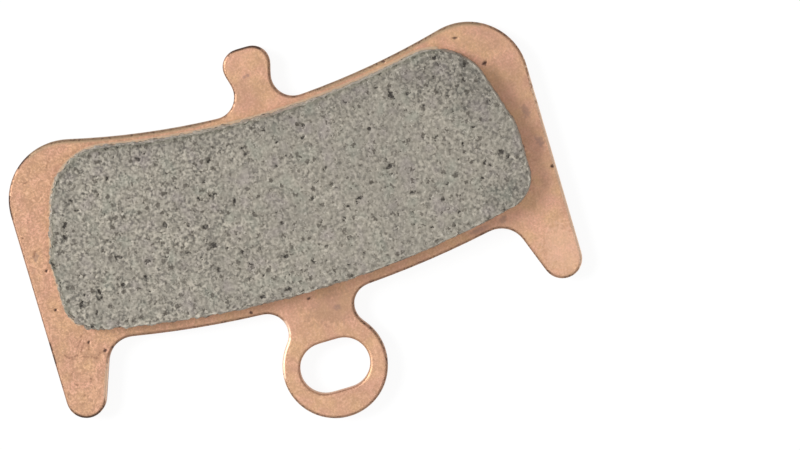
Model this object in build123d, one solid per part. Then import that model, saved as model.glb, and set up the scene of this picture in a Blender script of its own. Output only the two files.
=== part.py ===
"""A sintered disc brake pad for a bicycle: a blanked steel plate, and the friction block sintered on to it.

Millimetres. The pad lies on its back: z = 0 is the back face, where the pistons push, and +Z leaves the friction face.
The origin is the middle of the pin slot. +X points away from the rotor's axle, and +Y runs along the pad.
"""

from build123d import *
import math
import os

# Plate, between two arcs about the rotor's axle
rim_edge_radius = 89.0
hub_edge_radius = 70.95
plate_width = 48.2
plate_thickness = 1.8
plate_corner_radius = 5.4
edge_roll = 0.25

# Pin ear, past the middle of the rim edge
pin_offset = 6.1
slot_width = 4.6
slot_length = 6.4
ear_diameter = 9.5
ear_root_radius = 1.9

# Legs, in line with the ends of the plate
leg_reach = 4.4
leg_tip_radius = 1.8
leg_root_width = 5.4
leg_root_radius = 2.4

# Locating tab on the middle of the hub edge
tab_length = 5.6
tab_tip_width = 5.3
tab_root_width = 2.25
tab_tip_radius = 1.6
tab_root_radius = 2.0

# Holes that anchor the friction compound
anchor_diameter = 4.5
side_anchor_radius = 76.15
side_anchor_spacing = 32.0
centre_anchor_radius = 84.15

# Friction compound
compound_thickness = 2.2
compound_hub_margin = 0.75
compound_rim_margin = 1.0
compound_width = 43.45
compound_hub_width = 37.7
compound_draft = 4.0
shoulder_height = 9.15
shoulder_radius = 5.0
hub_corner_radius = 5.2
rim_corner_radius = 2.9
compound_edge = 0.15
peg_recess = 0.45
peg_edge = 0.5

# Places that follow from the sizes
axle_x = -pin_offset - rim_edge_radius
rim_x = axle_x + rim_edge_radius
hub_x = axle_x + hub_edge_radius
half_width = plate_width / 2
ear_radius = ear_diameter / 2


def on_arc(radius, y):
    """The point of an arc about the axle that lies y from the middle of the pad."""
    return Vector(axle_x + math.sqrt(radius**2 - y**2), y)


def touch_circle(point, centre, radius):
    """Where a straight line from a point touches a circle, on the circle's side towards the middle of the pad."""
    away = point - centre
    angle = math.atan2(away.Y, away.X) + math.acos(radius / away.length)
    return centre + Vector(math.cos(angle), math.sin(angle)) * radius


def ear_root_centre():
    """The centre of the hollow arc between the ear and the rim edge, which it touches both."""
    from_pin = ear_radius + ear_root_radius
    from_axle = rim_edge_radius + ear_root_radius
    x = (from_axle**2 - from_pin**2 - axle_x**2) / (-2 * axle_x)
    return Vector(x, math.sqrt(from_pin**2 - x**2))


def closed_outline(half):
    """A face from the lines of the +Y half of an outline and their mirror image."""
    return make_face(half + [mirror(line, about=Plane.XZ) for line in half])


def round_corner(face, corner, radius):
    """The face with this corner and its mirror image rounded."""
    image = Vector(corner.X, -corner.Y)
    corners = [face.vertices().sort_by_distance(point)[0] for point in (corner, image)]
    return fillet(corners, radius)


def plate_outline():
    """The plate's outline: hub edge with its tab, straight ends that run on into the legs, rim edge and ear."""
    tab_end_x = hub_x - tab_length
    tab_tip = Vector(tab_end_x, tab_tip_width / 2)
    tab_root = on_arc(hub_edge_radius, tab_root_width / 2)
    plate_corner = on_arc(hub_edge_radius, half_width)

    tip_centre = Vector(rim_x + leg_reach - leg_tip_radius, half_width - leg_tip_radius)
    leg_root = on_arc(rim_edge_radius, half_width - leg_root_width)
    leg_inner = touch_circle(leg_root, tip_centre, leg_tip_radius)
    leg_outer = Vector(tip_centre.X, half_width)

    axle = Vector(axle_x, 0)
    root_centre = ear_root_centre()
    rim_touch = axle + (root_centre - axle).normalized() * rim_edge_radius
    ear_touch = root_centre.normalized() * ear_radius

    # A positive radius bulges outwards, a negative one is a hollow.
    half = [
        Line((tab_end_x, 0), tab_tip),
        Line(tab_tip, tab_root),
        RadiusArc(tab_root, plate_corner, -hub_edge_radius),
        Line(plate_corner, leg_outer),
        RadiusArc(leg_outer, leg_inner, leg_tip_radius),
        Line(leg_inner, leg_root),
        RadiusArc(leg_root, rim_touch, rim_edge_radius),
        RadiusArc(rim_touch, ear_touch, -ear_root_radius),
        RadiusArc(ear_touch, (ear_radius, 0), ear_radius),
    ]
    face = closed_outline(half)
    face = round_corner(face, tab_tip, tab_tip_radius)
    face = round_corner(face, tab_root, tab_root_radius)
    face = round_corner(face, plate_corner, plate_corner_radius)
    return round_corner(face, leg_root, leg_root_radius)


def anchor_places():
    """The middles of the anchor holes: one near each hub corner and one near the rim."""
    side = on_arc(side_anchor_radius, side_anchor_spacing / 2)
    centre = on_arc(centre_anchor_radius, 0)
    return [side, Vector(side.X, -side.Y), centre]


def anchor_pin(bottom):
    """Round bars that fill the anchor holes from a height up to the plate's front face."""
    height = plate_thickness - bottom
    return [
        Pos(place.X, place.Y, bottom + height / 2) * Cylinder(anchor_diameter / 2, height)
        for place in anchor_places()
    ]


def backing_plate():
    """The blanked plate, with its outer edges and hole rims rolled over by the press and the plating."""
    slot = Rot(0, 0, 90) * SlotOverall(slot_length, slot_width)
    plate = extrude(plate_outline() - slot, plate_thickness)
    plate = fillet(plate.edges().filter_by(Plane.XY), edge_roll)
    for bar in anchor_pin(0):
        plate -= bar
    rims = plate.edges().filter_by(GeomType.CIRCLE).filter_by_position(Axis.Z, 0, 0)
    rims = [rim for rim in rims if rim.is_closed]
    return fillet(rims, edge_roll)


def compound_outline():
    """The foot of the friction block: inside the plate's arcs, with ends that narrow towards the hub."""
    hub_radius = hub_edge_radius + compound_hub_margin
    rim_radius = rim_edge_radius - compound_rim_margin
    hub_corner = on_arc(hub_radius, compound_hub_width / 2)
    rim_corner = on_arc(rim_radius, compound_width / 2)
    shoulder = Vector(axle_x + rim_radius - shoulder_height, compound_width / 2)
    half = [
        RadiusArc(on_arc(hub_radius, 0), hub_corner, -hub_radius),
        Line(hub_corner, shoulder),
        Line(shoulder, rim_corner),
        RadiusArc(rim_corner, on_arc(rim_radius, 0), rim_radius),
    ]
    face = closed_outline(half)
    face = round_corner(face, hub_corner, hub_corner_radius)
    face = round_corner(face, shoulder, shoulder_radius)
    return round_corner(face, rim_corner, rim_corner_radius)


def friction_compound():
    """The friction block, with the pegs that it forms in the anchor holes and that stop short of the back face."""
    block = extrude(compound_outline(), compound_thickness)
    sides = block.faces().sort_by(Axis.Z)[1:-1]
    block = draft(sides, Plane.XY, compound_draft)
    block = fillet(block.faces().sort_by(Axis.Z)[-1].edges(), compound_edge)
    block = Pos(0, 0, plate_thickness) * block
    for bar in anchor_pin(peg_recess):
        block += fillet(bar.edges().sort_by(Axis.Z)[0], peg_edge)
    return block


os.makedirs("parts", exist_ok=True)
export_step(backing_plate(), "parts/backing_plate.step")
export_step(friction_compound(), "parts/friction_compound.step")
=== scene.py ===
"""A bicycle disc brake pad on its back: a copper-plated steel plate with a sintered block on it."""

import math

import bmesh
import bpy
import numpy as np
from mathutils import Matrix, Vector, geometry, kdtree, noise


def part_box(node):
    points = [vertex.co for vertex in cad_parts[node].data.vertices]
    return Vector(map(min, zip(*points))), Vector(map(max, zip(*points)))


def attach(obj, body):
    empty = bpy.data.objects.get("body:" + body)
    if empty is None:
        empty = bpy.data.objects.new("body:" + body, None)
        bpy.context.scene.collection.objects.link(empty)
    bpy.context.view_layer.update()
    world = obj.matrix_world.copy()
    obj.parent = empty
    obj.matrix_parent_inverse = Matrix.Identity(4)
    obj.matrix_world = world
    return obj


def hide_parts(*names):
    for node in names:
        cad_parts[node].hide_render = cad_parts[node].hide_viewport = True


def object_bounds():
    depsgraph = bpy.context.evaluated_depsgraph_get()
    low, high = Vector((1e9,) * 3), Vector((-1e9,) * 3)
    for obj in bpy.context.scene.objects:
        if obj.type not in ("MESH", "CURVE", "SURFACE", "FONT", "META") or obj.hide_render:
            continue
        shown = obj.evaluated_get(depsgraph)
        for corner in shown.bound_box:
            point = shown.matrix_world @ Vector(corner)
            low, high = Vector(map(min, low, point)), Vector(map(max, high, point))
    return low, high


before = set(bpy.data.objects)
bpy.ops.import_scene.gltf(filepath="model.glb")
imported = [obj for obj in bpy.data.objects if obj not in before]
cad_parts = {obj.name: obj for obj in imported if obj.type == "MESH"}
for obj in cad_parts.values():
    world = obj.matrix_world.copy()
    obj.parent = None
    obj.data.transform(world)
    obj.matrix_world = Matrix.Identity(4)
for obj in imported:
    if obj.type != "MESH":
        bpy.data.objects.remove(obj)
cad_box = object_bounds()


# Backing plate
# Blanked from sheet steel, so the press rolls its edges over and tears the lower part of the cut wall.
# It is copper plated all over, and the sintering furnace leaves specks, stains and a bright satin skin.
MM = 0.001

# Steps of its mesh in millimetres: on the front, along the edges, on the back and under the block
PLATE_STEP = 0.1
PLATE_EDGE_STEP = 0.16
PLATE_BACK_STEP = 0.2
PLATE_HIDDEN_STEP = 1.2

# How far grids stay from an outline and stray, in steps, and how the fine grid gives way to the coarse one
GRID_MARGIN = 0.6
GRID_UNEVENNESS = 0.18
FINE_OVERLAP = 0.4
COARSE_MARGIN = 1.0
COARSE_HOLE_MARGIN = 0.3

# Points nearer than this are one: in the frame in metres, and in a filled face in millimetres
SAME_POINT = 1e-7
SAME_CORNER = 1e-6

# Outlines: the rounds that ease them, and how far above the plate the block's foot is cut
EASING_ROUNDS = 3
FOOT_LIFT = 0.02

# How far each seed shifts the noise
SEED_SHIFT = (7.3, 3.1, 5.7)

# The cut edge: its roll, the heights of its wall and of its tear as shares of the plate, and the tear's size
PLATE_ROLL = 0.25
ROLL_POINTS = 6
WALL_HEIGHTS = (0.74, 0.62, 0.5, 0.4, 0.3, 0.2)
PLATE_TEAR_START = 0.62
PLATE_TEAR_DEPTH = 0.03
PLATE_TEAR_SIZE = 0.35

# Pits, and the depth within which a point counts as on the front
PLATE_PIT_DEPTH = 0.05
FRONT_DEPTH = 0.01

# Bands along the edges, a band of painted light at the block's foot, and painted shade along the hub edge on
# both sides of the tab
EDGE_BAND_WIDTH = 0.45
SLOT_EDGE_SHARE = 0.5
FOOT_PAINTED_LIGHT_WIDTH = 0.42
HUB_BAND_WIDTH = 0.6
HUB_BAND_START = 3.5
HUB_BAND_FADE = 2.5

# The pad in the photograph: the pin slot's middle in pixels, the scale, the turn and the camera's pitch
PIN_AT = (335.4, 364.2)
PIXELS_PER_MM = 11.08
PICTURE_TURN = math.radians(16.4)
CAMERA_PITCH = math.radians(3.0)

# Which way the light and the hub lie, and how squarely an edge has to face them to count
LIGHT_LEAN = 0.3
TOWARDS_LIGHT = np.array([-math.sin(PICTURE_TURN) - LIGHT_LEAN, -math.cos(PICTURE_TURN)])
TOWARDS_HUB = (-1, 0)
LIT_LEAST = 0.3
HUB_EDGE_LEAST = 0.9

# Spots are ragged and fade out round a rim, given in half lengths, and only mark points near their height
SPOT_RAGGED_SIZE = 0.2
SPOT_RAGGED_DEPTH = 0.6
SPOT_RIM = 1.3
SPOT_FADE = 0.7
SPOT_HEIGHT_RANGE = 0.3

# Marks on the front: column and row in the photograph, length and width in millimetres, and turn
PLATE_PITS = [
    (455, 39, 0.45, 0.18, 5), (484, 64, 0.45, 0.36, 0), (309.5, 298, 0.32, 0.22, 20),
    (252, 312, 0.3, 0.2, 0), (90.5, 341.6, 0.26, 0.24, 0), (57.3, 309.3, 0.3, 0.26, 0),
    (48.6, 270.7, 0.28, 0.26, 0), (107, 350, 0.32, 0.3, 0), (114, 347, 0.28, 0.24, 0),
    (551, 166.6, 0.3, 0.26, 0), (384, 62, 0.3, 0.22, 0),
]
PLATE_STAINS = [
    (539, 141, 1.1, 0.7, -50), (502, 219.4, 0.8, 0.6, 60), (338, 307, 0.7, 0.5, 0), (38, 257, 0.9, 0.5, 70),
    (478, 230, 1.6, 0.5, 25), (525, 112, 1.2, 0.6, -60), (247, 77, 0.8, 0.3, 20), (228, 57, 0.6, 0.4, 40),
]

# Broad places of painted shade, fainter painted shade by a share of that, and a painted highlight, given in
# the same way
PLATE_PAINTED_SHADE = [(338, 307, 5.8, 2.8, 16)]
PLATE_FAINT_PAINTED_SHADE = [(520, 105, 11.0, 4.4, -66), (484, 40, 5.0, 2.4, 5), (250, 94, 3.6, 3.0, 16)]
FAINT_SHADE_SHARE = 0.5
PLATE_PAINTED_HIGHLIGHT = [(564, 250, 5.0, 3.6, -65)]

# Scratches and wrinkles, given in the same way
PLATE_SCRATCHES = [
    (72, 357, 1.0, 0.22, -12), (77, 356, 0.6, 0.2, 40), (67, 355, 0.4, 0.2, -45), (96, 357, 0.8, 0.2, -10),
    (101, 353, 0.6, 0.18, 55), (87, 356, 0.6, 0.16, -5), (80, 345, 1.0, 0.16, 68), (84, 347, 0.9, 0.16, 72),
    (90, 346, 1.0, 0.16, 98), (82, 336, 0.5, 0.16, 50), (73, 374, 0.6, 0.16, 60), (78, 384, 0.5, 0.16, -40),
    (92, 380, 0.6, 0.16, 80), (70, 394, 0.5, 0.16, 70), (86, 395, 0.5, 0.16, 30), (28, 183, 0.5, 0.2, 0),
    (50, 164, 0.9, 0.16, 75), (36, 255, 1.0, 0.2, 70), (30, 222, 0.6, 0.18, 85), (24, 240, 0.7, 0.18, 75),
]

# Stretches of the cut edge that are darkened nearly black, and stretches that get a painted highlight, given
# in the same way
PLATE_BLACKENED = [
    (88, 416, 2.4, 1.6, 0), (100, 408, 1.8, 1.2, 50), (247, 49, 3.0, 1.2, 12), (26, 162, 1.6, 1.0, 50),
    (12, 208, 2.0, 1.0, -80), (53, 346, 0.8, 0.7, -70), (57, 359, 0.9, 0.7, -70),
]
PLATE_EDGE_HIGHLIGHTS = [(560, 175, 22.0, 2.2, -75), (285, 350, 6.0, 1.6, 85), (107, 385, 5.0, 1.2, 80)]

# Marks on the back: x and y on the pad, length and width, all in millimetres, and turn from the pad's length
BACK_PITS = [
    (-3.0, 2.7, 0.5, 0.42, 30), (-2.6, 3.85, 0.5, 0.35, 0), (-2.2, 3.6, 0.3, 0.28, 0),
    (-1.3, 3.4, 0.3, 0.28, 0), (-0.1, 3.6, 0.45, 0.35, 45), (-11.7, -23.6, 0.4, 0.35, 0),
    (-2.9, -23.5, 0.4, 0.25, 0), (-21.0, -13.4, 0.4, 0.3, 0), (-8.6, 9.4, 0.35, 0.3, 0),
    (-13.1, -12.2, 0.3, 0.25, 20), (-22.6, -5.2, 0.35, 0.3, 0), (-5.6, 21.6, 0.35, 0.3, 60),
]
BACK_STAINS = [
    (-12.8, -21.6, 2.1, 0.9, 90), (-16.2, -10.5, 1.6, 0.8, 60), (-22.2, -20.8, 1.7, 0.8, 80),
    (-13.2, -14.1, 2.0, 1.2, 30), (-17.9, -15.8, 1.6, 0.9, 0), (-19.9, -10.7, 1.8, 1.0, 60),
    (-8.1, -18.4, 0.8, 0.5, 0), (-23.2, -8.8, 1.8, 1.2, 0), (-7.8, -1.8, 1.4, 0.9, 60),
    (-15.5, 7.5, 1.8, 0.9, 20), (-20.6, 11.5, 1.4, 0.8, 70), (-11.4, 17.2, 1.2, 0.7, 30),
    (-21.8, 20.4, 1.5, 0.8, 60), (-23.0, 2.4, 1.5, 0.8, 80),
]

# Specks crowd over the middle of the back: half the size of their oval, and where its middle lies
SPECKED_HALF_HEIGHT = 10
SPECKED_HALF_LENGTH = 17
SPECKED_MIDDLE = -12

# Where looks change: the height below which the back's look starts and is full, the half heights of the plain
# cut wall and of its rolls, and the places along the pad between which the mottle grows
BACK_LOOK_TOP = 0.35
BACK_LOOK_FULL = 0.05
WALL_HALF = 0.35
ROLL_HALF = 0.75
PLAIN_END = 2
MOTTLED_END = -18

# Colours of the plating: its skin and grain, marked places, painted shade, painted highlights and painted
# light, specks of the back and cut edges
ROSE_COPPER = (0.84, 0.475, 0.345, 1)
YELLOW_COPPER = (0.81, 0.515, 0.3, 1)
DULL_COPPER = (0.61, 0.36, 0.235, 1)
BROWN_COPPER = (0.51, 0.29, 0.185, 1)
PALE_COPPER = (0.95, 0.65, 0.475, 1)
DARK_GRAIN = (0.44, 0.25, 0.16, 1)
BRIGHT_GRAIN = (0.97, 0.67, 0.5, 1)
SCUFF_BROWN = (0.5, 0.28, 0.18, 1)
PAINTED_SHADE_BROWN = (0.36, 0.21, 0.15, 1)
PAINTED_HIGHLIGHT_COPPER = (1.0, 0.66, 0.48, 1)
HUB_PAINTED_SHADE_OLIVE = (0.43, 0.33, 0.21, 1)
STAIN_BROWN = (0.3, 0.19, 0.17, 1)
SCRATCH_BROWN = (0.27, 0.13, 0.08, 1)
FOOT_PAINTED_LIGHT_CREAM = (0.7, 0.565, 0.41, 1)
GLINT_COPPER = (1.0, 0.76, 0.57, 1)
DOT_BROWN = (0.25, 0.105, 0.055, 1)
STROKE_BROWN = (0.27, 0.13, 0.075, 1)
HOLE_BROWN = (0.11, 0.045, 0.025, 1)
EDGE_BROWN = (0.27, 0.15, 0.095, 1)
BLACKENED_BROWN = (0.07, 0.038, 0.027, 1)
EDGE_HIGHLIGHT_COPPER = (1.0, 0.74, 0.55, 1)
PIT_BROWN = (0.12, 0.065, 0.05, 1)


def section(name, height):
    """The outlines in which a level plane cuts a node, in millimetres, each with its material on the left."""
    shape = bmesh.new()
    shape.from_mesh(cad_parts[name].data)
    bmesh.ops.remove_doubles(shape, verts=shape.verts, dist=SAME_POINT)
    everything = shape.verts[:] + shape.edges[:] + shape.faces[:]
    cut = bmesh.ops.bisect_plane(shape, geom=everything, plane_co=(0, 0, height * MM), plane_no=(0, 0, 1))
    beside = {}
    for edge in cut["geom_cut"]:
        if isinstance(edge, bmesh.types.BMEdge):
            first, second = edge.verts
            beside.setdefault(first, []).append(second)
            beside.setdefault(second, []).append(first)
    outlines = []
    while beside:
        start = next(iter(beside))
        walk = [start]
        ahead = beside.pop(start)[0]
        while ahead is not start:
            walk.append(ahead)
            ahead = next(vert for vert in beside.pop(ahead) if vert is not walk[-2])
        outlines.append(np.array([vert.co.xy for vert in walk]) / MM)
    shape.free()
    outlines.sort(key=lambda line: -np.ptp(line[:, 1]))
    return [line if (area(line) > 0) == (place == 0) else line[::-1] for place, line in enumerate(outlines)]


def area(line):
    """The area inside a closed outline, positive where it runs anticlockwise."""
    after = np.roll(line, -1, axis=0)
    return float(np.sum(line[:, 0] * after[:, 1] - line[:, 1] * after[:, 0])) / 2


def even(line, step):
    """A closed outline with points at even steps, eased so that the chords of its arcs don't show."""
    closed = np.vstack([line, line[:1]])
    run = np.concatenate([[0], np.cumsum(np.linalg.norm(np.diff(closed, axis=0), axis=1))])
    places = np.linspace(0, run[-1], round(run[-1] / step), endpoint=False)
    points = np.column_stack([np.interp(places, run, closed[:, axis]) for axis in (0, 1)])
    for _ in range(EASING_ROUNDS):
        points = (np.roll(points, 1, axis=0) + 2 * points + np.roll(points, -1, axis=0)) / 4
    return points


def inset(line, depth):
    """An outline moved into its material by a depth, which may differ from point to point."""
    along = np.roll(line, -1, axis=0) - np.roll(line, 1, axis=0)
    along /= np.linalg.norm(along, axis=1, keepdims=True)
    inward = np.column_stack([-along[:, 1], along[:, 0]])
    return line + inward * np.reshape(depth, (-1, 1))


def raised(line, height):
    """The points of an outline at a height."""
    return np.column_stack([line, np.full(len(line), height)])


def grid_inside(lines, step, seed):
    """Points of a slightly uneven triangular grid, inside the first outline and outside the others."""
    chance = np.random.default_rng(seed)
    before = np.vstack(lines)
    after = np.vstack([np.roll(line, -1, axis=0) for line in lines])
    found = []
    row_height = step * math.sqrt(3) / 2
    for row, y in enumerate(np.arange(before[:, 1].min(), before[:, 1].max(), row_height)):
        crosses = (before[:, 1] <= y) != (after[:, 1] <= y)
        low, high = before[crosses], after[crosses]
        marks = np.sort(low[:, 0] + (y - low[:, 1]) * (high[:, 0] - low[:, 0]) / (high[:, 1] - low[:, 1]))
        for start, end in zip(marks[0::2], marks[1::2]):
            first = math.ceil(start / step - row % 2 / 2) + row % 2 / 2
            places = np.arange(first * step, end, step)
            found.append(np.column_stack([places, np.full(len(places), y)]))
    points = np.vstack(found)
    return points + chance.uniform(-GRID_UNEVENNESS, GRID_UNEVENNESS, points.shape) * step


def within(points, line):
    """Which of the points lie inside a closed outline."""
    after = np.roll(line, -1, axis=0)
    odd = np.zeros(len(points), bool)
    for (x0, y0), (x1, y1) in zip(line, after):
        if y0 != y1:
            spans = (y0 <= points[:, 1]) != (y1 <= points[:, 1])
            odd ^= spans & (points[:, 0] < x0 + (points[:, 1] - y0) * (x1 - x0) / (y1 - y0))
    return odd


class Shell:
    """The points and faces of one closed piece, gathered in millimetres."""

    def __init__(self):
        self.points = np.zeros((0, 3))
        self.faces = []

    def add(self, flat, height):
        """New points at a height. Gives their numbers."""
        start = len(self.points)
        self.points = np.vstack([self.points, raised(flat, height)])
        return np.arange(start, len(self.points))

    def band(self, upper, lower):
        """Four-sided faces between two rings of as many points, facing away from the material."""
        self.faces += np.column_stack([upper, lower, np.roll(lower, -1), np.roll(upper, -1)]).tolist()

    def fill(self, rings, middle, facing_up):
        """Three-sided faces between rings, by way of the points in the middle."""
        numbers = np.concatenate([*rings, middle]).astype(int)
        flat = [Vector(point) for point in self.points[numbers, :2]]
        borders = []
        start = 0
        for ring in rings:
            borders += [(start + place, start + (place + 1) % len(ring)) for place in range(len(ring))]
            start += len(ring)
        _, _, faces, came_from, _, _ = geometry.delaunay_2d_cdt(flat, borders, [], 0, SAME_CORNER)
        faces = np.array([[came_from[corner][0] for corner in face] for face in faces])
        on_rings = (faces < start).all(axis=1)
        centres = self.points[numbers[faces[on_rings]], :2].mean(axis=1)
        keep = within(centres, self.points[rings[0], :2])
        for ring in rings[1:]:
            keep &= ~within(centres, self.points[ring, :2])
        faces = np.vstack([faces[~on_rings], faces[on_rings][keep]])
        self.faces += numbers[faces if facing_up else faces[:, ::-1]].tolist()

    def piece(self, name, marks):
        """The object, in metres, with smooth faces and one number per point for each named mark."""
        mesh = bpy.data.meshes.new(name)
        mesh.from_pydata((self.points * MM).tolist(), [], self.faces)
        mesh.shade_smooth()
        for mark, values in marks.items():
            mesh.attributes.new(mark, "FLOAT", "POINT").data.foreach_set("value", values.astype(np.float32))
        made = bpy.data.objects.new(name, mesh)
        bpy.context.scene.collection.objects.link(made)
        return made


def closeness(points, lines, width):
    """How near each point is to the nearest outline, seen from above: 1 on it and 0 from a width away."""
    on_lines = np.vstack(lines)
    tree = kdtree.KDTree(len(on_lines))
    for number, (x, y) in enumerate(on_lines):
        tree.insert((x, y, 0), number)
    tree.balance()
    away = np.array([tree.find((x, y, 0))[2] for x, y in points[:, :2]])
    return np.clip(1 - away / width, 0, 1)


def facing(line, direction, least):
    """The points of an outline whose outer side faces a direction, by at least this much of its length."""
    return line[(line - inset(line, 1)) @ np.array(direction) > least]


def rough(points, size, seed):
    """Smooth noise from -1 to 1 at each point, with bumps of about this size."""
    shift = Vector([seed * step for step in SEED_SHIFT])
    return np.array([noise.noise(Vector(point) / size + shift) for point in points])


def spotted(shell, height, spots):
    """How strongly ragged spots, each a place, length, width and turn, mark a shell's points at a height."""
    points = shell.points
    ragged = rough(points, SPOT_RAGGED_SIZE, seed=5) * SPOT_RAGGED_DEPTH
    marked = np.zeros(len(points))
    for x, y, length, width, turn in spots:
        lean = math.radians(turn)
        off_x, off_y = points[:, 0] - x, points[:, 1] - y
        along = (off_x * math.sin(lean) + off_y * math.cos(lean)) / (length / 2)
        across = (off_x * math.cos(lean) - off_y * math.sin(lean)) / (width / 2)
        share = np.clip((SPOT_RIM - np.hypot(along, across) - ragged) / SPOT_FADE, 0, 1)
        marked = np.maximum(marked, share * share * (3 - 2 * share))
    return marked * (np.abs(points[:, 2] - height) < SPOT_HEIGHT_RANGE)


def seen_at(column, row, height):
    """The place on the pad, in millimetres, that the photograph shows at a column and row, at a height."""
    across = (column - PIN_AT[0]) / PIXELS_PER_MM
    down = (row - PIN_AT[1]) / PIXELS_PER_MM - height * math.sin(CAMERA_PITCH)
    x = across * math.sin(PICTURE_TURN) + down * math.cos(PICTURE_TURN)
    y = across * math.cos(PICTURE_TURN) - down * math.sin(PICTURE_TURN)
    return x, y


def pictured(shell, height, spots):
    """How strongly spots given by the photograph's columns and rows mark a shell's points at a height."""
    lean = math.degrees(PICTURE_TURN)
    placed = [(*seen_at(column, row, height), *size, lean - turn) for column, row, *size, turn in spots]
    return spotted(shell, height, placed)


def balance(more, less):
    """One mark made of two: 0.5 where neither is, up to 1 with the first and down to 0 with the second."""
    return 0.5 + (more - less) / 2


plate_top = (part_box("backing_plate")[1] / MM).z
plate_lines = [even(line, PLATE_EDGE_STEP) for line in section("backing_plate", plate_top / 2)]
outer_line, slot_line, *anchor_lines = plate_lines
block_foot = section("friction_compound", plate_top + FOOT_LIFT)[0]
foot_line = even(block_foot, PLATE_EDGE_STEP)


def quarter_round(radius, points):
    """A rounded edge from a face to a wall: how far each point lies inside the wall and under the face."""
    angles = np.linspace(0, math.pi / 2, points)
    return [(radius * (1 - math.sin(angle)), radius * (1 - math.cos(angle))) for angle in angles]


def edge_profile(rolled_front):
    """The cut edge from front to back: how far each of its points lies inside the outline, and its height."""
    roll = quarter_round(PLATE_ROLL, ROLL_POINTS)
    front = [(depth, plate_top - under) for depth, under in roll] if rolled_front else [(0, plate_top)]
    wall = [(0, plate_top * share) for share in WALL_HEIGHTS]
    return front + wall + roll[::-1]


# The outline and the slot are rolled over on both faces, and the anchor holes only on the back.
rolled_fronts = [True, True] + [False] * len(anchor_lines)
plate = Shell()
front_rings = []
back_rings = []
for line, rolled_front in zip(plate_lines, rolled_fronts):
    rings = []
    for depth, height in edge_profile(rolled_front):
        torn = PLATE_ROLL < height < PLATE_TEAR_START * plate_top
        tear = np.abs(rough(raised(line, height), PLATE_TEAR_SIZE, seed=3)) * PLATE_TEAR_DEPTH if torn else 0
        rings.append(plate.add(inset(line, depth + tear), height))
    for upper, lower in zip(rings, rings[1:]):
        plate.band(upper, lower)
    front_rings.append(rings[0])
    back_rings.append(rings[-1])

flat_lines = [inset(line, PLATE_ROLL + PLATE_STEP * GRID_MARGIN) for line in plate_lines]
bare = grid_inside(flat_lines, PLATE_STEP, seed=11)
bare = bare[~within(bare, inset(foot_line, FINE_OVERLAP))]
hidden_lines = [inset(foot_line, COARSE_MARGIN), *(inset(line, COARSE_HOLE_MARGIN) for line in anchor_lines)]
hidden = grid_inside(hidden_lines, PLATE_HIDDEN_STEP, seed=12)
back_flat = grid_inside(flat_lines, PLATE_BACK_STEP, seed=13)
plate.fill(front_rings, plate.add(np.vstack([bare, hidden]), plate_top), True)
plate.fill(back_rings, plate.add(back_flat, 0), False)

lit_foot = facing(foot_line, TOWARDS_LIGHT, LIT_LEAST)
hub_edge = facing(outer_line, TOWARDS_HUB, HUB_EDGE_LEAST)
hub_edge = hub_edge[np.abs(hub_edge[:, 1]) > HUB_BAND_START]
beside_tab = np.clip((np.abs(plate.points[:, 1]) - HUB_BAND_START) / HUB_BAND_FADE, 0, 1)
front_pits = pictured(plate, plate_top, PLATE_PITS)
back_pits = spotted(plate, 0, BACK_PITS)
front_stains = pictured(plate, plate_top, PLATE_STAINS)
back_stains = spotted(plate, 0, BACK_STAINS)
painted_shade = pictured(plate, plate_top, PLATE_PAINTED_SHADE)
faint_painted_shade = pictured(plate, plate_top, PLATE_FAINT_PAINTED_SHADE) * FAINT_SHADE_SHARE
painted_highlight = pictured(plate, plate_top, PLATE_PAINTED_HIGHLIGHT)
blackened_stretches = pictured(plate, plate_top, PLATE_BLACKENED)
painted_edge_highlights = pictured(plate, plate_top, PLATE_EDGE_HIGHLIGHTS)
outer_edge = closeness(plate.points, [outer_line], EDGE_BAND_WIDTH)
slot_edge = closeness(plate.points, [slot_line], EDGE_BAND_WIDTH) * SLOT_EDGE_SHARE
anchor_edge = closeness(plate.points, anchor_lines, EDGE_BAND_WIDTH)
plate.points[:, 2] += (back_pits - front_pits) * PLATE_PIT_DEPTH
on_front = plate.points[:, 2] > plate_top - FRONT_DEPTH
plate_marks = {
    "pit": np.maximum(front_pits, back_pits),
    "stain": np.maximum(front_stains, back_stains),
    "scratch": pictured(plate, plate_top, PLATE_SCRATCHES),
    "edge": np.maximum(np.maximum(outer_edge, slot_edge), anchor_edge),
    # Painted light on the plate beside the block's foot, on the side facing the light
    "foot": closeness(plate.points, [lit_foot], FOOT_PAINTED_LIGHT_WIDTH) * on_front,
    # Painted shade on the rolled hub edge on both sides of the tab
    "hub_painted_shade": closeness(plate.points, [hub_edge], HUB_BAND_WIDTH) * beside_tab,
    # Painted shade and a painted highlight in broad places: 0.5 where neither is
    "painted_light": balance(painted_highlight, np.maximum(painted_shade, faint_painted_shade)),
    # 1 where the cut edge is darkened nearly black, 0 where it gets a painted highlight, as all round the
    # anchor holes
    "blackening_and_highlight": balance(blackened_stretches, np.maximum(painted_edge_highlights, anchor_edge > 0)),
}
backing_plate = plate.piece("copper_plate", plate_marks)


def node(tree, kind, inputs=None, **settings):
    """A node in a tree, with its settings made and each named input set or linked."""
    made = tree.nodes.new(kind)
    for name, value in settings.items():
        setattr(made, name, value)
    for name, value in (inputs or {}).items():
        if isinstance(value, bpy.types.NodeSocket):
            tree.links.new(value, made.inputs[name])
        else:
            made.inputs[name].default_value = value
    return made


def combined(tree, operation, *values):
    """What an operation makes of one or two numbers."""
    return node(tree, "ShaderNodeMath", dict(enumerate(values)), operation=operation).outputs[0]


def times(tree, first, second):
    """The product of two numbers."""
    return combined(tree, "MULTIPLY", first, second)


def plus(tree, first, second):
    """The sum of two numbers."""
    return combined(tree, "ADD", first, second)


def vectors(tree, operation, *values):
    """What an operation makes of two vectors."""
    return node(tree, "ShaderNodeVectorMath", dict(enumerate(values)), operation=operation).outputs[0]


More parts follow.
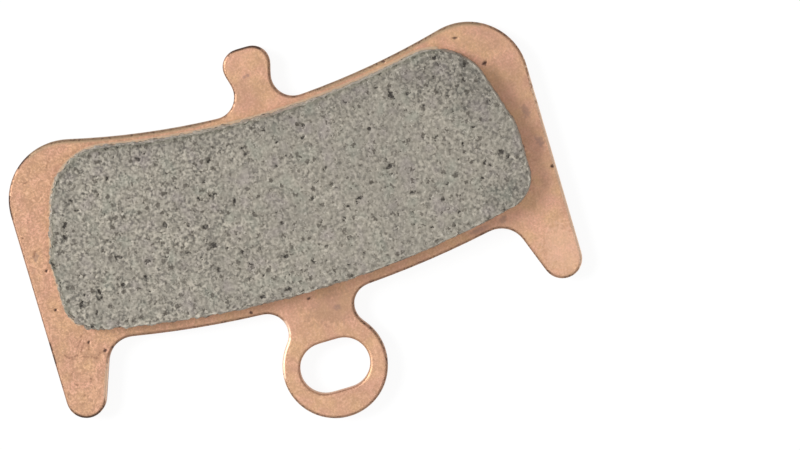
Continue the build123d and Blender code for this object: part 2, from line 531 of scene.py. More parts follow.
def scaled(tree, vector, factor):
    """A vector made longer by a factor."""
    return node(tree, "ShaderNodeVectorMath", {0: vector, "Scale": factor}, operation="SCALE").outputs[0]


def between(tree, value, start, end, low=0.0, high=1.0):
    """A value turned into a smooth step from low at its start to high at its end."""
    inputs = {"Value": value, "From Min": start, "From Max": end, "To Min": low, "To Max": high}
    return node(tree, "ShaderNodeMapRange", inputs, interpolation_type="SMOOTHSTEP").outputs["Result"]


def cloud(tree, place, size, detail=2.0, swirl=0.0, output="Fac"):
    """Soft noise from 0 to 1 over the surface, with patches of about this size in millimetres."""
    inputs = {"Vector": place, "Scale": 1 / (size * MM), "Detail": detail, "Distortion": swirl}
    return node(tree, "ShaderNodeTexNoise", inputs).outputs[output]


def streaks(tree, place, turn, length, width):
    """Noise from 0 to 1 drawn out into fine scratches of a length and width, at a turn in degrees about Z."""
    turned = node(tree, "ShaderNodeMapping", {"Vector": place, "Rotation": (0, 0, math.radians(turn))})
    scale = (1 / (length * MM), 1 / (width * MM), 1 / (width * MM))
    drawn = vectors(tree, "MULTIPLY", turned.outputs[0], scale)
    return node(tree, "ShaderNodeTexNoise", {"Vector": drawn, "Scale": 1.0, "Detail": 1.0}).outputs["Fac"]


def specks(tree, place, spacing, share, rim=0.34, middle=0.16):
    """Small specks, 1 at their middles, in a share of the cells of an uneven net with this spacing."""
    cells = node(tree, "ShaderNodeTexVoronoi", {"Vector": place, "Scale": 1 / (spacing * MM)})
    chance = node(tree, "ShaderNodeSeparateColor", {"Color": cells.outputs["Color"]}).outputs["Red"]
    chosen = between(tree, combined(tree, "SUBTRACT", share, chance), 0.0, 0.15)
    return times(tree, between(tree, cells.outputs["Distance"], rim, middle), chosen)


def shaken(tree, place, size, reach):
    """A place shifted by noise with bumps of a size, up to about half a reach each way, for ragged shapes."""
    shift = cloud(tree, place, size, detail=1.0, output="Color")
    shift = vectors(tree, "SUBTRACT", shift, (0.5, 0.5, 0.5))
    return vectors(tree, "ADD", place, scaled(tree, shift, reach * MM))


def tinted(tree, share, colour, tint):
    """A colour with another laid over it by a share."""
    return node(tree, "ShaderNodeMix", {0: share, 6: colour, 7: tint}, data_type="RGBA").outputs[2]


def layered(tree, colour, layers):
    """A colour with others laid over it one after another, each given with its share."""
    for share, tint in layers:
        colour = tinted(tree, share, colour, tint)
    return colour


def mark(tree, name):
    """A number that the mesh carries at each point."""
    return node(tree, "ShaderNodeAttribute", attribute_name=name).outputs["Fac"]


def finish_tree(name):
    """A new material with its tree, its shader and the place of each point on the piece."""
    made = bpy.data.materials.new(name)
    made.use_nodes = True
    tree = made.node_tree
    place = node(tree, "ShaderNodeTexCoord").outputs["Object"]
    return made, tree, tree.nodes["Principled BSDF"], place


def specked_back(tree, colour, place, height, patches, blushes):
    """The plating's colour with the back's specks, most over its middle, where brush strokes show too."""
    behind = between(tree, height, BACK_LOOK_TOP * MM, BACK_LOOK_FULL * MM)
    away = vectors(tree, "SUBTRACT", place, (SPECKED_MIDDLE * MM, 0, 0))
    oval = (1 / (SPECKED_HALF_HEIGHT * MM), 1 / (SPECKED_HALF_LENGTH * MM), 0)
    away = vectors(tree, "MULTIPLY", away, oval)
    away = node(tree, "ShaderNodeVectorMath", {0: away}, operation="LENGTH").outputs["Value"]
    away = plus(tree, away, between(tree, patches, 0.7, 0.3, -0.35, 0.35))
    crowded = times(tree, behind, between(tree, away, 1.2, 0.5, 0.06, 1.0))
    ragged = shaken(tree, place, size=0.25, reach=0.25)
    glints = specks(tree, ragged, spacing=0.4, share=times(tree, crowded, 0.7))
    dots = specks(tree, ragged, spacing=0.36, share=times(tree, crowded, 1.1))
    holes = specks(tree, ragged, spacing=0.7, share=times(tree, crowded, 0.7))
    strokes = between(tree, streaks(tree, place, turn=-58, length=1.5, width=0.16), 0.53, 0.63)
    strokes = times(tree, times(tree, strokes, crowded), between(tree, blushes, 0.45, 0.6, high=0.75))
    layers = [
        (times(tree, glints, 0.6), GLINT_COPPER),
        (times(tree, dots, 0.75), DOT_BROWN),
        (strokes, STROKE_BROWN),
        (times(tree, holes, 0.85), HOLE_BROWN),
    ]
    return layered(tree, colour, layers)


def brown_edges_and_highlights(tree, colour, height, mottle):
    """The plating's colour with cut edges that are brown, darkened nearly black in stretches, or given a
    painted highlight.
    """
    from_middle = combined(tree, "ABSOLUTE", combined(tree, "SUBTRACT", height, plate_top / 2 * MM))
    at_roll = between(tree, from_middle, WALL_HALF * MM, ROLL_HALF * MM, low=0.4)
    edge = mark(tree, "edge")
    blackening_and_highlight = mark(tree, "blackening_and_highlight")
    brown = times(tree, between(tree, edge, 0.2, 0.9, high=0.75), between(tree, mottle, 0.3, 0.7, low=0.5))
    brown = times(tree, times(tree, brown, at_roll), between(tree, blackening_and_highlight, 0.0, 0.4))
    ragged = plus(tree, blackening_and_highlight, between(tree, mottle, 0.3, 0.7, -0.15, 0.25))
    # The cut edge darkened nearly black in the listed stretches
    blackened_edge = times(tree, between(tree, edge, 0.35, 0.85, high=0.92), between(tree, ragged, 0.55, 0.82))
    blackened_edge = times(tree, blackened_edge, at_roll)
    # A painted highlight along the cut edge where the mark is low
    bright = times(tree, between(tree, edge, 0.3, 0.75, high=0.8), between(tree, blackening_and_highlight, 0.4, 0.05))
    return layered(tree, colour, [(brown, EDGE_BROWN), (blackened_edge, BLACKENED_BROWN), (bright, EDGE_HIGHLIGHT_COPPER)])


def copper_plating():
    """Satin copper: a warm mottled skin, brown on cut edges, painted light beside the block, painted shade
    and painted highlights in places, specked on the back.
    """
    made, tree, shader, place = finish_tree("copper_plating")
    axes = node(tree, "ShaderNodeSeparateXYZ", {"Vector": place}).outputs
    patches = cloud(tree, place, size=6.0)
    blushes = cloud(tree, place, size=1.8, detail=1.0)
    clouds = cloud(tree, place, size=1.1)
    mottle = cloud(tree, place, size=0.36, swirl=1.4)
    grain = cloud(tree, place, size=0.2, detail=1.5)
    scuffs = streaks(tree, place, turn=74, length=2.5, width=0.06)

    # The mottle is stronger towards one end of the pad.
    uneven = between(tree, between(tree, axes["Y"], PLAIN_END * MM, MOTTLED_END * MM), 0, 1, 0.35, 0.7)
    painted_light = mark(tree, "painted_light")
    layers = [
        (between(tree, patches, 0.6, 0.4, high=0.25), DULL_COPPER),
        (between(tree, clouds, 0.6, 0.35, high=0.27), BROWN_COPPER),
        (times(tree, between(tree, mottle, 0.62, 0.38), uneven), BROWN_COPPER),
        (between(tree, mottle, 0.55, 0.75, high=0.35), PALE_COPPER),
        (between(tree, grain, 0.55, 0.3, high=0.2), DARK_GRAIN),
        (between(tree, grain, 0.5, 0.75, high=0.25), BRIGHT_GRAIN),
        (between(tree, scuffs, 0.58, 0.75, high=0.2), SCUFF_BROWN),
        # Painted shade, and a painted highlight, in broad places of the front
        (between(tree, painted_light, 0.5, 0.0, high=0.35), PAINTED_SHADE_BROWN),
        (between(tree, painted_light, 0.5, 1.0, high=0.3), PAINTED_HIGHLIGHT_COPPER),
        # Painted shade along the rolled hub edge
        (between(tree, mark(tree, "hub_painted_shade"), 0.2, 0.7, high=0.75), HUB_PAINTED_SHADE_OLIVE),
        (times(tree, mark(tree, "stain"), between(tree, grain, 0.3, 0.6, 0.25, 0.55)), STAIN_BROWN),
        (times(tree, mark(tree, "scratch"), between(tree, grain, 0.3, 0.65, 0.75, 0.35)), SCRATCH_BROWN),
        # Painted light beside the block's foot
        (between(tree, mark(tree, "foot"), 0.25, 0.6, high=0.75), FOOT_PAINTED_LIGHT_CREAM),
    ]
    colour = tinted(tree, between(tree, blushes, 0.25, 0.75), ROSE_COPPER, YELLOW_COPPER)
    colour = layered(tree, colour, layers)
    colour = specked_back(tree, colour, place, axes["Z"], patches, blushes)
    colour = brown_edges_and_highlights(tree, colour, axes["Z"], mottle)
    colour = tinted(tree, mark(tree, "pit"), colour, PIT_BROWN)
    tree.links.new(colour, shader.inputs["Base Color"])
    tree.links.new(between(tree, mottle, 0.3, 0.7, 0.48, 0.62), shader.inputs["Roughness"])
    shader.inputs["Metallic"].default_value = 0.9
    worn = combined(tree, "SUBTRACT", grain, scuffs)
    bump = node(tree, "ShaderNodeBump", {"Height": worn, "Strength": 0.5, "Distance": 0.02 * MM})
    tree.links.new(bump.outputs["Normal"], shader.inputs["Normal"])
    return made


backing_plate.data.materials.append(copper_plating())
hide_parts("backing_plate")
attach(backing_plate, "root")


# Friction compound
# Metal powder, graphite and grit pressed and sintered on to the plate, so it is hard, grey and full of pores.
# The press squeezes it into the plate's anchor holes, where it ends in rough black pegs short of the back.

# Its mesh: steps, worn edge, a swelling that makes up for its hollows, and the depth of its second section
BLOCK_STEP = 0.105
BLOCK_EDGE_STEP = BLOCK_STEP * 1.3
BLOCK_EDGE = 0.09
BLOCK_EDGE_POINTS = 5
BLOCK_WALL_POINTS = 14
BLOCK_SWELL = 0.06
SHOULDER_DEPTH = 0.4

# Its ragged wall: how deep, by two sizes of noise and their shares, and how that eases along the pad
RAGGED_DEPTH = 0.34
RAGGED_SIZE = 0.9
RAGGED_SHARE = 0.6
RAGGED_FINE_SIZE = 0.38
RAGGED_FINE_SHARE = 0.7
RAGGED_AT_MIDDLE = 0.55
RAGGED_LEAST = 0.35
RAGGED_EASE_LENGTH = 45

# The pegs: their rounded edge, the steps of their mesh, and how far up from their ends the skin is rough
PEG_EDGE = 0.5
PEG_EDGE_POINTS = 6
PEG_EDGE_STEP = 0.2
PEG_STEP = 0.13
PEG_MARGIN = 0.08
PEG_ROUGH_HEIGHT = 0.1

# The sintered skin: its grain and pores, and how it calms down towards the plate and is looser on the walls
SKIN_SEED = 4
GRAIN_SIZE = 0.4
GRAIN_HEIGHT = 0.05
PORE_SPACING = 1.1
MOST_PORES_PER_SQUARE_METRE = 5e6
SMALLEST_PORE = 0.16
LARGEST_PORE = 0.42
PORE_DEPTH = 0.16
CALM_HEIGHT = 0.25
WALL_LOOSENESS = 0.8
SOFTENING_ROUNDS = 60

# The brink of the face, which is nicked most on the side of the light and has painted light on the far side
NICK_SIZE = 0.55
NICK_DEPTH = 0.22
BRINK_HEIGHT = 0.5
BRINK_INSET = 0.2
BRINK_WIDTH = 0.45
LIT_BRINK_INSET = 0.15
LIT_BRINK_WIDTH = 0.4
FAR_BRINK_LIGHT_WIDTH = 0.35
NICKED_ALL_ROUND = 0.6
NICKED_BY_LIGHT = 0.4

# The largest pores of its face: column and row in the photograph, length and width in millimetres, and turn
LARGE_PORES = [
    (391, 96, 1.1, 0.5, -55), (434, 60, 0.45, 0.4, 0), (408, 94.6, 0.55, 0.35, 0), (464, 67, 0.5, 0.28, 80),
    (370, 129.5, 0.4, 0.35, 60), (304, 138, 0.4, 0.3, 40), (248.5, 153.8, 0.5, 0.42, 0),
    (211.5, 161.4, 0.45, 0.3, 45), (390, 167, 0.75, 0.38, 35), (214, 196.5, 0.75, 0.35, -40),
    (236.4, 202, 0.65, 0.34, 80), (348, 206.7, 0.4, 0.22, 20), (360, 198.4, 0.7, 0.35, 10),
    (313.5, 198.4, 0.6, 0.25, 75), (332.7, 184.4, 0.4, 0.35, -40), (500, 153, 0.65, 0.45, 50),
    (473, 128, 0.5, 0.3, 0), (484, 163, 0.45, 0.35, 70), (488.7, 219, 0.5, 0.3, 20),
    (74.8, 201, 0.55, 0.28, -10), (80.6, 210.6, 0.5, 0.28, 10), (68.5, 226, 0.7, 0.4, 80),
    (69, 237, 0.7, 0.45, 75), (168, 224.6, 0.6, 0.45, -60), (191, 224.6, 0.4, 0.36, 70),
    (207.5, 227, 0.6, 0.45, 45), (216.5, 245, 0.75, 0.55, 0), (150.7, 260.4, 0.5, 0.42, 0),
    (149, 277, 0.55, 0.3, -50), (126.3, 283.8, 0.7, 0.3, 40), (103, 291, 0.6, 0.28, -75),
    (122, 256.5, 0.9, 0.3, 0), (84.5, 304, 0.6, 0.35, 70), (265, 296, 0.65, 0.45, 10),
    (291, 289, 0.6, 0.5, 0), (141, 160, 0.5, 0.4, 0), (288, 256, 0.5, 0.4, 30), (82, 325, 0.4, 0.3, -12),
    (88, 326, 0.6, 0.3, -12), (96, 326.5, 0.5, 0.35, 0), (54, 195, 0.6, 0.35, 80), (65.5, 164, 0.6, 0.45, 50),
    (72, 158.5, 0.5, 0.35, 80), (54, 214, 0.5, 0.35, 80), (52, 233, 0.5, 0.3, 80), (265, 116, 0.5, 0.3, 20),
    (277, 113, 0.55, 0.35, 40), (283, 110.5, 0.5, 0.25, 20), (56, 264, 0.5, 0.4, 70),
]

# Parts of the face that the furnace left darker, given in the same way, and less so its hub edge and one end
SMOKED = [(455, 76, 9.0, 6.0, -35), (415, 82, 3.6, 3.0, -30), (504, 196, 4.6, 3.2, 40)]
SMOKED_SHARE = 0.5
HUB_STRIP_WIDTH = 2.6
HUB_STRIP_LEAST = 0.6
HUB_STRIP_SHARE = 0.35
DUSKY_END_START = 14
DUSKY_END_FADE = 6
DUSKY_END_SHARE = 0.22

# Where looks change: how high the plate's tint reaches, the heights over a peg's end at which soot starts
# and is full, and the places along the pad between which the grains grow coarse
FOOT_TINT_HEIGHT = 2
SOOT_TOP = 0.07
SOOT_FULL = 0.01
FINE_END = 6
COARSE_END = -16

# Colours of the compound: its grains and tints, its brinks (painted light on the far one) and foot, its
# specks and pores, the pegs' soot and the painted shade round them
DARK_GRIT = (0.07, 0.064, 0.053, 1)
LIGHT_GRIT = (0.68, 0.616, 0.505, 1)
EVEN_GREY = (0.35, 0.317, 0.26, 1)
LOW_GREY = (0.16, 0.146, 0.122, 1)
DARK_GREY = (0.2, 0.185, 0.165, 1)
GREEN_GREY = (0.32, 0.345, 0.28, 1)
ROSE_GREY = (0.36, 0.3, 0.305, 1)
SMOKE_GREY = (0.5, 0.5, 0.51, 1)
LIT_BRINK_BROWN = (0.16, 0.15, 0.105, 1)
FAR_BRINK_PAINTED_LIGHT_GREY = (0.62, 0.57, 0.48, 1)
FOOT_BROWN = (0.5, 0.41, 0.33, 1)
SPECK_GREY = (0.7, 0.65, 0.56, 1)
SMALL_PORE_BROWN = (0.09, 0.075, 0.056, 1)
MIDDLING_PORE_BROWN = (0.065, 0.053, 0.04, 1)
PORE_BLACK = (0.036, 0.03, 0.025, 1)
SOOT_BLACK = (0.02, 0.02, 0.019, 1)
SOOT_GREY = (0.062, 0.059, 0.05, 1)
PALE_SOOT = (0.09, 0.087, 0.072, 1)
PEG_PAINTED_SHADE_BLACK = (0.007, 0.007, 0.009, 1)

block_low, block_high = (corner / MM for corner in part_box("friction_compound"))
block_shoulder = section("friction_compound", block_high.z - SHOULDER_DEPTH)[0]
narrowing = (np.ptp(block_foot[:, 1]) - np.ptp(block_shoulder[:, 1])) / 2
draft = narrowing / (block_high.z - SHOULDER_DEPTH - FOOT_LIFT - plate_top)
block_line = even(block_foot, BLOCK_EDGE_STEP)


def block_profile():
    """The block's side from face to foot: how far each of its points lies inside the foot, and its height."""
    edge = quarter_round(BLOCK_EDGE, BLOCK_EDGE_POINTS)
    top = [(depth, block_high.z - under) for depth, under in edge]
    wall_heights = np.linspace(block_high.z - BLOCK_EDGE, plate_top, BLOCK_WALL_POINTS)[1:]
    wall = [(0, height) for height in wall_heights]
    return [(depth + draft * (height - plate_top), height) for depth, height in top + wall]


block = Shell()
ragged_ease = np.clip(RAGGED_AT_MIDDLE - block_line[:, 1] / RAGGED_EASE_LENGTH, RAGGED_LEAST, 1)
ragged_depth = RAGGED_DEPTH * ragged_ease
block_rings = []
for depth, height in block_profile():
    at_height = raised(block_line, height)
    ragged = rough(at_height, RAGGED_SIZE, seed=8) * RAGGED_SHARE
    ragged = ragged + rough(at_height, RAGGED_FINE_SIZE, seed=9) * RAGGED_FINE_SHARE
    block_rings.append(block.add(inset(block_line, depth - BLOCK_SWELL + ragged * ragged_depth), height))
for upper, lower in zip(block_rings, block_rings[1:]):
    block.band(upper, lower)
face_line = block.points[block_rings[0], :2]
face_grid = grid_inside([inset(face_line, BLOCK_STEP * GRID_MARGIN)], BLOCK_STEP, seed=21)
block.fill([block_rings[0]], block.add(face_grid, block_high.z), True)

peg_start = len(block.points)
peg_rings = []
for line in anchor_lines:
    peg_line = even(line, PEG_EDGE_STEP)
    rings = [block.add(peg_line, plate_top), block.add(peg_line, block_low.z + PEG_EDGE)]
    for height, depth in quarter_round(PEG_EDGE, PEG_EDGE_POINTS)[1:]:
        rings.append(block.add(inset(peg_line, -depth), block_low.z + height))
    for upper, lower in zip(rings, rings[1:]):
        block.band(lower, upper)
    end_line = block.points[rings[-1], :2][::-1]
    end_grid = grid_inside([inset(end_line, PEG_MARGIN)], PEG_STEP, seed=22)
    block.fill([rings[-1][::-1]], block.add(end_grid, block_low.z), False)
    peg_rings.append(rings[0])
block.fill([block_rings[-1], *peg_rings], [], False)

heights = block.points[:, 2]
at_top = np.clip(1 - (block_high.z - heights) / BRINK_HEIGHT, 0, 1)
on_wall = (heights < block_high.z - BLOCK_EDGE / 2) & (heights > plate_top + CALM_HEIGHT)
above_foot = np.clip((heights - plate_top) / CALM_HEIGHT, 0, 1)
at_peg_end = heights < block_low.z + PEG_ROUGH_HEIGHT
brink = closeness(block.points, [inset(block_line, BRINK_INSET)], BRINK_WIDTH)
lit_line = facing(inset(block_line, LIT_BRINK_INSET), TOWARDS_LIGHT, LIT_LEAST)
lit_brink = closeness(block.points, [lit_line], LIT_BRINK_WIDTH)
far_line = facing(block_line, -TOWARDS_LIGHT, LIT_LEAST)
smoked = pictured(block, block_high.z, SMOKED) * SMOKED_SHARE
hub_line = facing(block_line, TOWARDS_HUB, HUB_STRIP_LEAST)
hub_strip = closeness(block.points, [hub_line], HUB_STRIP_WIDTH) * at_top * HUB_STRIP_SHARE
dusky_end = np.clip((block.points[:, 1] - DUSKY_END_START) / DUSKY_END_FADE, 0, 1) * at_top * DUSKY_END_SHARE
block_marks = {
    "peg": (np.arange(len(block.points)) >= peg_start).astype(float),
    "loose": above_foot + at_peg_end + on_wall * WALL_LOOSENESS,
    "gouge": pictured(block, block_high.z, LARGE_PORES),
    "smoke": np.maximum(np.maximum(smoked, hub_strip), dusky_end),
    "brink": (brink * NICKED_ALL_ROUND + lit_brink * NICKED_BY_LIGHT) * at_top,
    "lit_brink": lit_brink * at_top,
    # Painted light on the brink facing away from the light
    "far_brink_painted_light": closeness(block.points, [far_line], FAR_BRINK_LIGHT_WIDTH),
}
friction_block = block.piece("friction_block", block_marks)


def carried(tree, name):
    """A number that the mesh carries at each point, read in a geometry tree."""
    made = node(tree, "GeometryNodeInputNamedAttribute", {"Name": name}, data_type="FLOAT")
    return made.outputs["Attribute"]


def stored(tree, shape, name, value):
    """A shape whose points carry a named number."""
    inputs = {"Geometry": shape, "Name": name, "Value": value}
    made = node(tree, "GeometryNodeStoreNamedAttribute", inputs, data_type="FLOAT", domain="POINT")
    return made.outputs["Geometry"]


def sampled(tree, points, number, value, kind):
    """A value at the point that has a number, among scattered points."""
    inputs = {"Geometry": points, "Value": value, "Index": number}
    return node(tree, "GeometryNodeSampleIndex", inputs, data_type=kind).outputs[0]


def scattered_pores(tree, given, place):
    """Hollows from 0 to 1 scattered over a shape, each with a width of its own, most of them small."""
    scatter = {
        "Mesh": given["Geometry"],
        "Distance Min": given["Pore Spacing"],
        "Density Max": MOST_PORES_PER_SQUARE_METRE,
        "Seed": given["Seed"],
    }
    points = node(tree, "GeometryNodeDistributePointsOnFaces", scatter, distribute_method="POISSON")
    chance = node(tree, "FunctionNodeRandomValue", {"Seed": given["Seed"]}, data_type="FLOAT").outputs[1]
    rare = times(tree, chance, times(tree, chance, chance))
    widths = {"Value": rare, "To Min": given["Smallest Pore"], "To Max": given["Largest Pore"]}
    width = node(tree, "ShaderNodeMapRange", widths).outputs["Result"]
    pores = stored(tree, points.outputs["Points"], "width", width)

    # A point of the skin looks for its nearest pore from a place that noise shifts, so no pore is round.
    looked = shaken(tree, place, size=0.25, reach=0.9)
    search = {"Geometry": pores, "Sample Position": looked}
    nearest = node(tree, "GeometryNodeSampleNearest", search).outputs["Index"]
    centre = sampled(tree, pores, nearest, place, "FLOAT_VECTOR")
    reach = sampled(tree, pores, nearest, carried(tree, "width"), "FLOAT")
    away = node(tree, "ShaderNodeVectorMath", {0: looked, 1: centre}, operation="DISTANCE").outputs["Value"]
    return between(tree, combined(tree, "DIVIDE", away, reach), 0.75, 0.25)


def sintered_skin(inputs):
    """A tree that presses a sintered skin into a smooth shape: grains, scattered pores and nicked brinks."""
    tree = bpy.data.node_groups.new("sintered_skin", "GeometryNodeTree")
    for side in ("INPUT", "OUTPUT"):
        tree.interface.new_socket(name="Geometry", in_out=side, socket_type="NodeSocketGeometry")
    for name, (kind, _) in inputs.items():
        tree.interface.new_socket(name=name, in_out="INPUT", socket_type=kind)
    given = node(tree, "NodeGroupInput").outputs
    place = node(tree, "GeometryNodeInputPosition").outputs["Position"]

    hollow = combined(tree, "MAXIMUM", scattered_pores(tree, given, place), carried(tree, "gouge"))
    fineness = combined(tree, "DIVIDE", 1.0, given["Grain Size"])
    grains = {"Vector": place, "Scale": fineness, "Detail": 2.0, "Roughness": 0.6}
    grain = node(tree, "ShaderNodeTexNoise", grains).outputs["Fac"]
    nicked = times(tree, between(tree, cloud(tree, place, NICK_SIZE), 0.48, 0.62), carried(tree, "brink"))
    low = times(tree, between(tree, grain, 0.7, 0.3), given["Grain Height"])
    sunk = times(tree, plus(tree, low, times(tree, hollow, given["Pore Depth"])), carried(tree, "loose"))
    sunk = plus(tree, sunk, times(tree, nicked, given["Nick Depth"]))

    # Normals are softened so that the skin doesn't fold over itself where it sinks at the brink.
    normal = node(tree, "GeometryNodeInputNormal").outputs["Normal"]
    softening = {"Value": normal, "Iterations": SOFTENING_ROUNDS}
    soft = node(tree, "GeometryNodeBlurAttribute", softening, data_type="FLOAT_VECTOR").outputs[0]
    offset = scaled(tree, soft, times(tree, sunk, -1.0))

    dark = combined(tree, "MAXIMUM", hollow, times(tree, nicked, 0.8))
    shape = stored(tree, given["Geometry"], "pore", dark)
    shape = stored(tree, shape, "grain", grain)
    shape = node(tree, "GeometryNodeSetPosition", {"Geometry": shape, "Offset": offset}).outputs["Geometry"]
    shape = node(tree, "GeometryNodeRealizeInstances", {"Geometry": shape}).outputs["Geometry"]
    finished = {"Geometry": shape, "Material": given["Finish"]}
    shape = node(tree, "GeometryNodeSetMaterial", finished).outputs["Geometry"]
    node(tree, "NodeGroupOutput", {"Geometry": shape})
    return tree


def peg_soot(tree, height, fine, tones):
    """The black of the pegs: sooty and uneven on their ends, with nearly black painted shade round them."""
    soot = tinted(tree, between(tree, fine, 0.3, 0.7), SOOT_BLACK, SOOT_GREY)
    soot = tinted(tree, between(tree, tones, 0.5, 0.7, high=0.5), soot, PALE_SOOT)
    at_end = between(tree, height, (block_low.z + SOOT_TOP) * MM, (block_low.z + SOOT_FULL) * MM)
    # Nearly black painted shade on the pegs above their ends
    return tinted(tree, at_end, PEG_PAINTED_SHADE_BLACK, soot)


def sintered_metal():
    """Sintered compound: warm grey grains of metal, grit and graphite with black pores between them."""
    made, tree, shader, place = finish_tree("sintered_metal")
    axes = node(tree, "ShaderNodeSeparateXYZ", {"Vector": place}).outputs
    coarse = between(tree, axes["Y"], FINE_END * MM, COARSE_END * MM)
    fine = cloud(tree, place, size=0.27, detail=1.0, swirl=0.4)
    stirred = cloud(tree, place, size=1.3, detail=1.5)
    crumbs = cloud(tree, place, size=0.12, detail=1.0)
    tones = cloud(tree, place, size=2.6)
    tints = cloud(tree, place, size=2.0, detail=1.5)
    smoke = mark(tree, "smoke")

    # The grains stand out most towards one end of the pad and where the face is smoked.
    gritty = tinted(tree, between(tree, fine, 0.2, 0.8), DARK_GRIT, LIGHT_GRIT)
    uneven = times(tree, between(tree, coarse, 0, 1, low=0.66), between(tree, stirred, 0.35, 0.65, low=0.45))
    uneven = plus(tree, uneven, times(tree, smoke, 0.6))
    colour = tinted(tree, uneven, EVEN_GREY, gritty)
    grains = [
        (between(tree, mark(tree, "grain"), 0.6, 0.25, high=0.5), LOW_GREY),
        (between(tree, tones, 0.38, 0.66, 0.04, 0.24), DARK_GREY),
        (between(tree, tints, 0.52, 0.75, high=0.3), GREEN_GREY),
        (between(tree, tints, 0.48, 0.25, high=0.3), ROSE_GREY),
    ]
    shade = {0: smoke, 6: layered(tree, colour, grains), 7: SMOKE_GREY}
    colour = node(tree, "ShaderNodeMix", shade, data_type="RGBA", blend_type="MULTIPLY").outputs[2]

    ragged = shaken(tree, place, size=0.25, reach=0.6)
    bright = specks(tree, ragged, 0.35, between(tree, tones, 0.3, 0.7, 0.6, 0.35))
    small = specks(tree, ragged, 0.5, between(tree, coarse, 0, 1, 0.7, 0.95), rim=0.3, middle=0.2)
    middling = specks(tree, ragged, 0.85, between(tree, coarse, 0, 1, 0.5, 0.6), rim=0.3, middle=0.2)
    broken = plus(tree, mark(tree, "pore"), between(tree, crumbs, 0.25, 0.75, -0.3, 0.3))
    dark = times(tree, between(tree, broken, 0.5, 0.8), between(tree, fine, 0.75, 0.4, 0.6, 0.95))
    layers = [
        (times(tree, mark(tree, "lit_brink"), 0.6), LIT_BRINK_BROWN),
        # Painted light on the brink facing away from the light
        (between(tree, mark(tree, "far_brink_painted_light"), 0.2, 0.8, high=0.5), FAR_BRINK_PAINTED_LIGHT_GREY),
        (between(tree, axes["Z"], (plate_top + FOOT_TINT_HEIGHT) * MM, plate_top * MM, high=0.4), FOOT_BROWN),
        (times(tree, bright, 0.4), SPECK_GREY),
        (times(tree, small, 0.6), SMALL_PORE_BROWN),
        (times(tree, middling, 0.75), MIDDLING_PORE_BROWN),
        (dark, PORE_BLACK),
        (mark(tree, "peg"), peg_soot(tree, axes["Z"], fine, tones)),
    ]
    colour = layered(tree, colour, layers)
    tree.links.new(colour, shader.inputs["Base Color"])
    tree.links.new(between(tree, fine, 0.4, 0.7, 0.82, 0.6), shader.inputs["Roughness"])
    bump = node(tree, "ShaderNodeBump", {"Height": fine, "Strength": 0.35, "Distance": 0.05 * MM})
    tree.links.new(bump.outputs["Normal"], shader.inputs["Normal"])
    return made


skin_inputs = {
    "Seed": ("NodeSocketInt", SKIN_SEED),
    "Grain Size": ("NodeSocketFloat", GRAIN_SIZE * MM),
    "Grain Height": ("NodeSocketFloat", GRAIN_HEIGHT * MM),
    "Pore Spacing": ("NodeSocketFloat", PORE_SPACING * MM),
    "Smallest Pore": ("NodeSocketFloat", SMALLEST_PORE * MM),
    "Largest Pore": ("NodeSocketFloat", LARGEST_PORE * MM),
    "Pore Depth": ("NodeSocketFloat", PORE_DEPTH * MM),
    "Nick Depth": ("NodeSocketFloat", NICK_DEPTH * MM),
    "Finish": ("NodeSocketMaterial", sintered_metal()),
}
skin = friction_block.modifiers.new("sintered_skin", "NODES")
skin.node_group = sintered_skin(skin_inputs)
for socket in skin.node_group.interface.items_tree:
    if socket.name in skin_inputs:
        skin[socket.identifier] = skin_inputs[socket.name][1]
seen_block = friction_block.evaluated_get(bpy.context.evaluated_depsgraph_get())
sintered_mesh = bpy.data.meshes.new_from_object(seen_block)
friction_block.modifiers.clear()
friction_block.data = sintered_mesh
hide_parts("friction_compound")
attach(friction_block, "root")


# Studio
# The pad lies on a plain white floor under a large soft light from the left of the picture.
# The camera looks down on it at the angle at which the photograph shows it standing.
PICTURE = (800, 450)
CAMERA_AWAY = 400 * MM
NEAREST_SEEN = 0.01
FARTHEST_SEEN = 20

# Lights: metres from the pad's middle to the right and up in the picture and out of it, size and power
KEY_PLACE = (-1.15, 0.27, 1.08)
KEY_SIZE = 0.7
KEY_POWER = 21.5
FILL_PLACE = (0.07, -0.08, 0.38)
FILL_SIZE = 0.12
FILL_POWER = 0.12
SKY_STRENGTH = 0.42

# The floor lies just under the pad, and the camera sees it whiter than the pad does
FLOOR_REACH = 2
FLOOR_HEIGHT = -0.02 * MM
FLOOR_WHITE = 0.85
FLOOR_ROUGHNESS = 0.9
FLOOR_SHADE = 0.12
FLOOR_GLOW = 0.91

right = Vector((math.sin(PICTURE_TURN), math.cos(PICTURE_TURN), 0))
upward = Vector((-math.cos(PICTURE_TURN), math.sin(PICTURE_TURN), 0))
outward = Vector((0, 0, 1))

camera_data = bpy.data.cameras.new("camera")
camera_data.lens = PIXELS_PER_MM / MM * CAMERA_AWAY / PICTURE[0] * camera_data.sensor_width
camera_data.clip_start = NEAREST_SEEN
camera_data.clip_end = FARTHEST_SEEN
camera = bpy.data.objects.new("camera", camera_data)
bpy.context.scene.collection.objects.link(camera)
back = outward * math.cos(CAMERA_PITCH) + upward * math.sin(CAMERA_PITCH)
above = back.cross(right)
aim = right * (PICTURE[0] / 2 - PIN_AT[0]) + above * (PIN_AT[1] - PICTURE[1] / 2)
stand = aim * (MM / PIXELS_PER_MM) + back * CAMERA_AWAY
camera.matrix_world = Matrix.Translation(stand) @ Matrix((right, above, back)).transposed().to_4x4()
bpy.context.scene.camera = camera


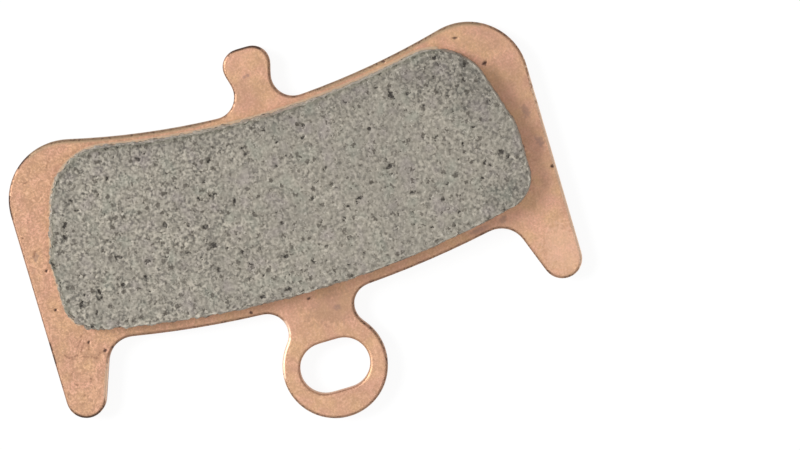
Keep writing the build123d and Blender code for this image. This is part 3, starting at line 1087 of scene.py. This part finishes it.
def lamp(name, place, size, power):
    """A square soft light that faces the middle of the pad."""
    data = bpy.data.lights.new(name, "AREA")
    data.size = size
    data.energy = power
    made = bpy.data.objects.new(name, data)
    bpy.context.scene.collection.objects.link(made)
    middle = (cad_box[0] + cad_box[1]) / 2
    away = right * place[0] + upward * place[1] + outward * place[2]
    made.location = middle + away
    made.rotation_euler = (-away).to_track_quat("-Z", "Y").to_euler()


lamp("key_light", KEY_PLACE, KEY_SIZE, KEY_POWER)
lamp("top_fill", FILL_PLACE, FILL_SIZE, FILL_POWER)

world = bpy.data.worlds.new("studio")
bpy.context.scene.world = world
world.use_nodes = True
sky = world.node_tree.nodes["Background"]
sky.inputs["Color"].default_value = (1, 1, 1, 1)
sky.inputs["Strength"].default_value = SKY_STRENGTH

floor_mesh = bpy.data.meshes.new("floor")
floor_sides = [(-FLOOR_REACH, -FLOOR_REACH), (FLOOR_REACH, -FLOOR_REACH)]
floor_sides += [(FLOOR_REACH, FLOOR_REACH), (-FLOOR_REACH, FLOOR_REACH)]
floor_mesh.from_pydata([(x, y, FLOOR_HEIGHT) for x, y in floor_sides], [], [(0, 1, 2, 3)])
floor = bpy.data.objects.new("floor", floor_mesh)
bpy.context.scene.collection.objects.link(floor)
floor_finish, floor_tree, floor_shader, _ = finish_tree("white_floor")
floor_shader.inputs["Base Color"].default_value = (FLOOR_WHITE, FLOOR_WHITE, FLOOR_WHITE, 1)
floor_shader.inputs["Roughness"].default_value = FLOOR_ROUGHNESS
rays = node(floor_tree, "ShaderNodeLightPath").outputs
mirrored = plus(floor_tree, rays["Is Glossy Ray"], rays["Is Transmission Ray"])
either = {0: rays["Is Camera Ray"], 1: mirrored}
looked_at = node(floor_tree, "ShaderNodeMath", either, operation="ADD", use_clamp=True)
shade = node(floor_tree, "ShaderNodeBsdfDiffuse", {"Color": (FLOOR_SHADE, FLOOR_SHADE, FLOOR_SHADE, 1)})
glow = node(floor_tree, "ShaderNodeEmission", {"Color": (1, 1, 1, 1), "Strength": FLOOR_GLOW})
white = node(floor_tree, "ShaderNodeAddShader", {0: shade.outputs[0], 1: glow.outputs[0]})
mixed = {0: looked_at.outputs[0], 1: floor_shader.outputs[0], 2: white.outputs[0]}
lit = node(floor_tree, "ShaderNodeMixShader", mixed)
floor_tree.links.new(lit.outputs[0], floor_tree.nodes["Material Output"].inputs["Surface"])
floor_mesh.materials.append(floor_finish)

bpy.context.scene.view_settings.view_transform = "Standard"
